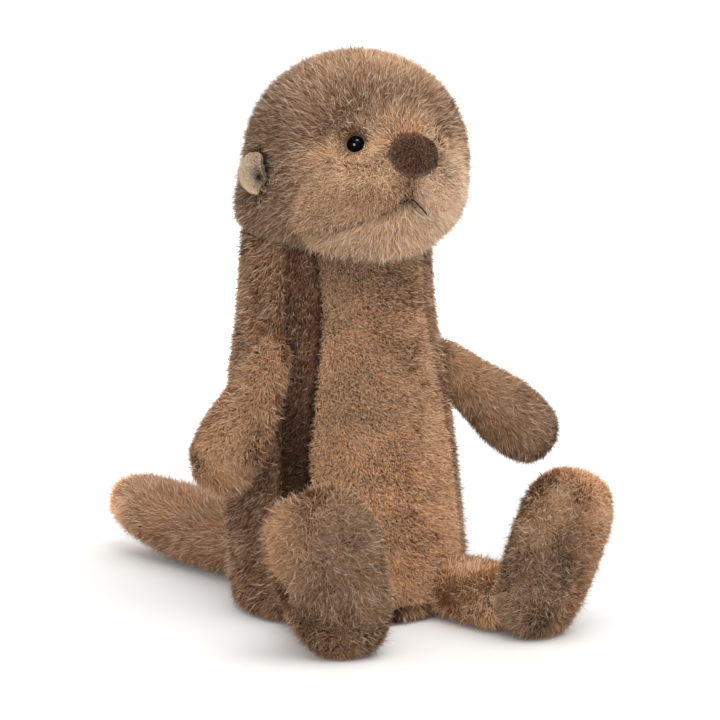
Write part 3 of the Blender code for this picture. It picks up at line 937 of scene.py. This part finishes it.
def head_length(points):
    sideways, _, up = face_map(points)
    length = 5.4 - 0.8 * ramp(20.0, 40.0, up)
    muzzle = in_muzzle(points)
    length = length * (1.0 - muzzle) + (3.2 + 1.4 * ramp(2.0, 8.0, sideways)) * muzzle
    chin = in_chin(points)
    length = length * (1.0 - chin) + 5.6 * chin
    length = length * (0.6 + 0.4 * ramp(9.0, 20.0, np.linalg.norm(points - NOSE, axis=1) / MM))
    length = length * (0.36 + 0.64 * ramp(0.0, 5.0, beside_ears(points)))
    inner = middle("eye_left") - ACROSS * 4.0 * MM + FORWARD * 3.0 * MM
    length = length * (1.0 + 0.75 * bump(np.linalg.norm(points - inner, axis=1) / MM, 3.5))
    return length * (0.36 + 0.64 * ramp(0.0, 4.0 * MM, beside_eyes(points))) * MM


def torso_length(points):
    return (3.0 + 1.6 * ramp(0.0, 2.5, beyond_panel(points))) * MM


def shoulder(node):
    low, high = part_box(node)
    inner = low.x if middle(node)[0] > 0 else high.x
    return (inner, (low.y + high.y) / 2.0, high.z)


def paw(node):
    low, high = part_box(node)
    outer = high.x if middle(node)[0] > 0 else low.x
    across = outer * 0.85 + middle(node)[0] * 0.15
    return (across, (low.y + high.y) / 2.0, low.z * 0.8 + high.z * 0.2)


def tail_tip():
    low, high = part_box("tail")
    return (low.x * 0.85 + high.x * 0.15, high.y, (low.z + high.z) / 2.0 + 0.006)


def pile(flow, dye_and_light, **changes):
    """One kind of pile: the usual numbers, apart from those given."""
    usual = dict(length=even(5.2 * MM), density=6.4, width=0.25 * MM, lift=(60.0, 36.0),
                 lock=2.2 * MM, gather=0.18, scatter=0.42, unrest=0.65, guard_share=0.15,
                 guard_width=0.85, guard_frost=0.95, stray=0.8, mottle=0.26, lumps=0.28,
                 frost=0.36, crease=even(0.0), crease_depth=1.5 * MM, crease_dark=0.6,
                 shape=as_is)
    return dict(usual, flow=flow, dye_and_light=dye_and_light, **changes)


SLEEK = dict(width=0.28 * MM, guard_share=0.10, guard_width=0.65)
LIMB = dict(SLEEK, lift=(54.0, 28.0), lumps=0.18, gather=0.1, mottle=0.13)
SOLE = dict(SLEEK, lift=(54.0, 30.0), lumps=0.16, gather=0.08, mottle=0.12, density=7.4)
FACE = dict(length=head_length, crease=head_crease)


def arm(node, dye_and_light):
    return pile(limb_flow(shoulder(node), paw(node)), dye_and_light, **LIMB)


def leg(foot):
    """The pile of the leg that ends in this foot."""
    flow = limb_flow(TRUNK * (1, 1, 0.1), middle(foot) * (1, 1, 0.3))
    return pile(flow, leg_dye_and_light, length=even(4.6 * MM), density=5.2)


def nap(node):
    """The short velvety pile of an ear."""
    return pile(ear_flow(node), ear_dye_and_shade(node), length=even(1.1 * MM), density=26.0,
                width=0.22 * MM, lock=0.9 * MM, guard_share=0.0, unrest=0.3,
                shape=ear_shape(node))


COATS = {
    "head": pile(face_flow, head_dye_and_light, **FACE),
    "muzzle": pile(muzzle_flow, head_dye_and_light, **FACE, density=12.0, lift=(64.0, 38.0),
                   lock=1.3 * MM, gather=0.40, scatter=0.65, guard_share=0.18, stray=0.35,
                   mottle=0.38, unrest=0.50, lumps=0.2),
    "chin": pile(chin_flow, head_dye_and_light, **FACE, density=9.0, width=0.27 * MM, lift=(54.0, 24.0),
                 scatter=0.25, unrest=0.35, stray=0.3, mottle=0.34, lumps=0.2),
    "torso": pile(trunk_flow, torso_dye_and_shade, length=torso_length, crease=torso_crease,
                  density=4.1, width=0.31 * MM, lumps=0.30, mottle=0.36, scatter=0.50),
    "belly": pile(trunk_flow, belly_dye_and_light, length=torso_length, crease=torso_crease, density=13.0,
                  width=0.22 * MM, lift=(72.0, 50.0), lock=1.2 * MM, gather=0.45, scatter=0.6,
                  guard_share=0.24, mottle=0.56, lumps=0.10, frost=0.50),
    "arm_left": arm("arm_left", left_arm_dye),
    "arm_right": arm("arm_right", right_arm_dye),
    "leg_left": leg("foot_left"),
    "leg_right": leg("foot_right"),
    "foot_left": pile(foot_flow("foot_left"), foot_dye_and_light("foot_left"), crease=sole_crease,
                      crease_depth=2.4 * MM, crease_dark=0.7, **SOLE),
    "foot_right": pile(foot_flow("foot_right"), foot_dye_and_light("foot_right"), **SOLE),
    "tail": pile(limb_flow(TRUNK * (1, 1, 0.2), tail_tip()), tail_dye, density=4.9,
                 width=0.27 * MM),
    "nose": pile(nose_flow, nose_dye, length=even(1.8 * MM), density=15.0, width=0.32 * MM,
                 lift=(60.0, 30.0), lock=1.0 * MM, guard_share=0.0, frost=0.22, mottle=0.7,
                 scatter=0.7, lumps=0.5, gather=0.4),
    "ear_left": nap("ear_left"),
    "ear_right": nap("ear_right"),
}


def free_faces(skin):
    """The faces that carry pile: those not sewn against a neighbour."""
    return np.nonzero(skin["sewn"][skin["triangles"]].min(axis=1) < 0.5)[0]


def regions(name, centres):
    """How a skin's coat divides into pieces: each one's name, pile, slot and share of the skin."""
    if name == "head":
        muzzle = in_muzzle(centres) > 0.5
        chin = muzzle & (in_chin(centres) > 0.5)
        left = centres[:, 0] > HEAD[0]
        return (("head_coat_left", "head", "brown_plush", ~muzzle & left),
                ("head_coat_right", "head", "brown_plush", ~muzzle & ~left),
                ("muzzle_coat", "muzzle", "face_plush", muzzle & ~chin),
                ("chin_coat", "chin", "face_plush", chin))
    if name == "torso":
        belly = beyond_panel(centres) < 0.0
        left = centres[:, 0] > TRUNK[0]
        return (("belly_coat_left", "belly", "belly_plush", belly & left),
                ("belly_coat_right", "belly", "belly_plush", belly & ~left),
                ("torso_coat_left", "torso", "brown_plush", ~belly & left),
                ("torso_coat_right", "torso", "brown_plush", ~belly & ~left))
    return ((name + "_coat", name, SKINS[name]["slot"], np.ones(len(centres), bool)),)


def build_coat(skins):
    # The ramps of the three pile materials darken each fibre towards its root: painted shade, as
    # deep in the pile.
    tips = ((0.7, (0.90, 0.84, 0.78)), (1.0, (0.98, 0.98, 0.98)))
    long_pile = pile_material("long_pile", ((0.0, (0.28, 0.11, 0.045)),
                                            (0.35, (0.56, 0.37, 0.24)), *tips))
    silky = pile_material("silky_pile", ((0.0, (0.42, 0.24, 0.14)),
                                         (0.35, (0.66, 0.50, 0.38)), *tips))
    velvet = pile_material("velvet_nap", ((0.0, 0.14), (0.5, 0.62), (1.0, 1.0)), 0.25)
    seed = 0
    for name, skin in skins.items():
        paint(skin["piece"].data, COATS[name]["dye_and_light"](skin["points"], skin["normals"]))
        faces = free_faces(skin)
        centres = skin["points"][skin["triangles"][faces]].mean(axis=1)
        look = silky if name.startswith(("arm", "leg", "foot", "tail")) else long_pile
        look = velvet if name in ("nose", *EARS) else look
        for label, kind, slot_name, share in regions(name, centres):
            seed += 1
            grow_tufts(label, skin, faces[share], COATS[kind], look, seed)


# ---------------------------------------------------------------- eyes and mouth

def build_eyes():
    look = bead_material()
    for node in EYES:
        shape = bmesh.new()
        bmesh.ops.create_uvsphere(shape, u_segments=64, v_segments=40, radius=size(node)[2] / 2.0)
        bmesh.ops.translate(shape, verts=shape.verts, vec=middle(node))
        mesh = bpy.data.meshes.new(node + "_bead")
        shape.to_mesh(mesh)
        shape.free()
        mesh.shade_smooth()
        bead = link(node + "_bead", mesh)
        bpy.data.collections["beads"].objects.link(bead)
        dress(bead, look)
        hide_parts(node)


THREAD_RADIUS = 0.34 * MM
THREAD_RINGS = 70
THREAD_SIDES = 16
FACE_AHEAD = 0.120           # the face is nearer to the ears than this
# Each thread's way down the mouth: millimetres to the left of the face's middle, above the nose's
# middle, and into the pile.
THREADS = {
    "mouth_stitch_left": ((-0.5, -14.6, 0.3), (-0.4, -18.2, 0.2), (3.2, -21.2, 0.0),
                          (6.8, -24.2, 0.0), (9.8, -26.8, 0.8)),
    "mouth_stitch_right": ((-0.4, -18.2, 2.4), (-2.8, -19.2, 0.5), (-4.2, -19.9, 0.3),
                           (-5.4, -20.4, 2.2), (-7.0, -21.2, 3.6)),
}


def build_mouth():
    """Two-ply thread drawn into the pile along each side of the mouth."""
    look = thread_material()
    face = node_tree(SKINS["head"]["nodes"])
    for node, way in THREADS.items():
        steps = np.linspace(0.0, len(way) - 1.0, THREAD_RINGS)
        sideways, up, into = (np.interp(steps, range(len(way)), row) for row in zip(*way))
        path = []
        for k in range(THREAD_RINGS):
            start = (BETWEEN_EARS * (1.0, 1.0, 0.0) + ACROSS * sideways[k] * MM
                     + FORWARD * FACE_AHEAD - DOWN * (NOSE[2] + up[k] * MM))
            path.append(np.array(face.ray_cast(start, -FORWARD)[0]) - FORWARD * into[k] * MM)
        path = np.array(path)
        for _ in range(12):
            path[1:-1] = (path[:-2] + path[1:-1] * 2.0 + path[2:]) / 4.0
        strand = link(node + "_thread", two_ply(node, path))
        dress(strand, look)
        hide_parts(node)


def two_ply(name, path):
    """A closed tube along a path whose section is two twisted strands."""
    shape = bmesh.new()
    rings = []
    for number, centre in enumerate(path):
        before = path[max(0, number - 1)]
        after = path[min(len(path) - 1, number + 1)]
        way = unit(after - before)
        across = unit(np.cross(way, FORWARD))
        third = np.cross(way, across)
        taper = min(1.0, 0.35 + min(number, len(path) - 1 - number) * 0.3)
        ring = []
        for turn in np.arange(THREAD_SIDES) * 2.0 * math.pi / THREAD_SIDES:
            reach = THREAD_RADIUS * taper * (0.62 + 0.38 * abs(math.cos(turn - number * 0.32)))
            ring.append(shape.verts.new(centre + (across * math.cos(turn)
                                                  + third * math.sin(turn)) * reach))
        rings.append(ring)
    for first, second in zip(rings, rings[1:]):
        for k in range(THREAD_SIDES):
            after = (k + 1) % THREAD_SIDES
            shape.faces.new((first[k], first[after], second[after], second[k]))
    shape.faces.new(rings[0])
    shape.faces.new(rings[-1])
    bmesh.ops.recalc_face_normals(shape, faces=shape.faces)
    mesh = bpy.data.meshes.new(name)
    shape.to_mesh(mesh)
    shape.free()
    mesh.shade_smooth()
    return mesh


# ---------------------------------------------------------------- studio

WHITE = (1.0, 1.0, 1.0, 1.0)
FLOOR_HALF = 30.0
# Each lamp: degrees round from the front and up, metres away, metres wide, and watts. The two
# catch lamps light only the beads.
LAMPS = {
    "key": (0.0, 60.0, 1.3, 1.3, 14.5),
    "fill": (-38.0, 17.0, 1.5, 0.35, 2.5),
    "back": (165.0, 50.0, 1.3, 0.8, 3.0),
    "catch_low": (-50.0, 15.0, 1.5, 0.60, 170.0),
    "catch_high": (4.0, 66.0, 1.5, 0.50, 70.0),
}
# The camera: degrees round and up, what it aims at and from how far, its lens and its shift.
VIEW = (-30.0, 9.3)
VIEW_AIM = (0.0, -0.012, 0.118)
VIEW_DISTANCE = 1.25
LENS = 140.6
SHIFT = (0.0053, -0.0198)


def build_floor():
    """White, with painted light: a glow that grows outwards until it meets the background, and
    painted shade that greys the floor near the toy.
    """
    floor_mesh = bpy.data.meshes.new("floor")
    shape = bmesh.new()
    bmesh.ops.create_grid(shape, x_segments=1, y_segments=1, size=FLOOR_HALF)
    shape.to_mesh(floor_mesh)
    shape.free()
    floor = link("floor", floor_mesh)
    look, nodes, shader = new_material("white_sweep")
    place = add_node(nodes, "TexCoord")
    reach = add_node(nodes, "VectorMath", operation='LENGTH')
    # Painted shade greys the floor near the toy; the emission is painted light, a glow that grows
    # outwards.
    tone = ramp_node(nodes, ((0.15, (0.74, 0.73, 0.715)), (0.55, 0.95)))
    glow = add_node(nodes, "MapRange", {"From Min": 0.20, "From Max": 1.0, "To Min": 0.04,
                                        "To Max": 0.5})
    wire(place, "Object", reach, 0)
    wire(reach, "Value", tone, "Fac")
    wire(reach, "Value", glow, "Value")
    wire(tone, "Color", shader, "Base Color")
    wire(glow, "Result", shader, "Emission Strength")
    put(shader, {"Roughness": 0.9, "Specular IOR Level": 0.1, "Emission Color": WHITE})
    floor_mesh.materials.append(look)


def build_lights():
    world = bpy.data.worlds.new("studio")
    bpy.context.scene.world = world
    world.use_nodes = True
    put(world.node_tree.nodes["Background"], {"Color": WHITE, "Strength": 1.0})
    beads = bpy.data.collections.new("beads")
    for label, (azimuth, elevation, distance, width, power) in LAMPS.items():
        lamp = bpy.data.lights.new(label, 'AREA')
        lamp.size = width
        lamp.energy = power
        holder = link(label, lamp)
        aim_at(holder, Vector(TRUNK), away_from(azimuth, elevation), distance)
        if label.startswith("catch"):
            holder.light_linking.receiver_collection = beads


def away_from(azimuth, elevation):
    """The way from the object to a viewer: azimuth 0 is in front of it, positive to its left."""
    turn, rise = math.radians(azimuth), math.radians(elevation)
    level = math.cos(rise)
    return Vector((math.sin(turn) * level, -math.cos(turn) * level, math.sin(rise)))


def aim_at(thing, target, back, distance):
    """Puts a lamp or camera that far back from its target, facing it."""
    thing.location = target + back * distance
    thing.rotation_euler = (-back).to_track_quat('-Z', 'Y').to_euler()


def build_camera():
    data = bpy.data.cameras.new("camera")
    data.lens = LENS
    data.sensor_width = 36.0
    data.shift_x, data.shift_y = SHIFT
    camera = link("camera", data)
    aim_at(camera, Vector(VIEW_AIM), away_from(*VIEW), VIEW_DISTANCE)
    bpy.context.scene.camera = camera
    bpy.context.scene.view_settings.view_transform = 'Standard'


# ---------------------------------------------------------------- the whole toy

def build_skins():
    backing = backing_material("backing")
    skins = {}
    everything = [name for spec in SKINS.values() for name in spec["nodes"]]
    for name, spec in SKINS.items():
        others = node_tree([node for node in everything if node not in spec["nodes"]])
        skin = build_skin(name, spec, others, COATS[name])
        dress(skin["piece"], backing)
        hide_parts(*spec["nodes"])
        skins[name] = skin
    return skins


build_floor()
build_lights()
build_camera()
skins = build_skins()
build_coat(skins)
build_eyes()
build_mouth()
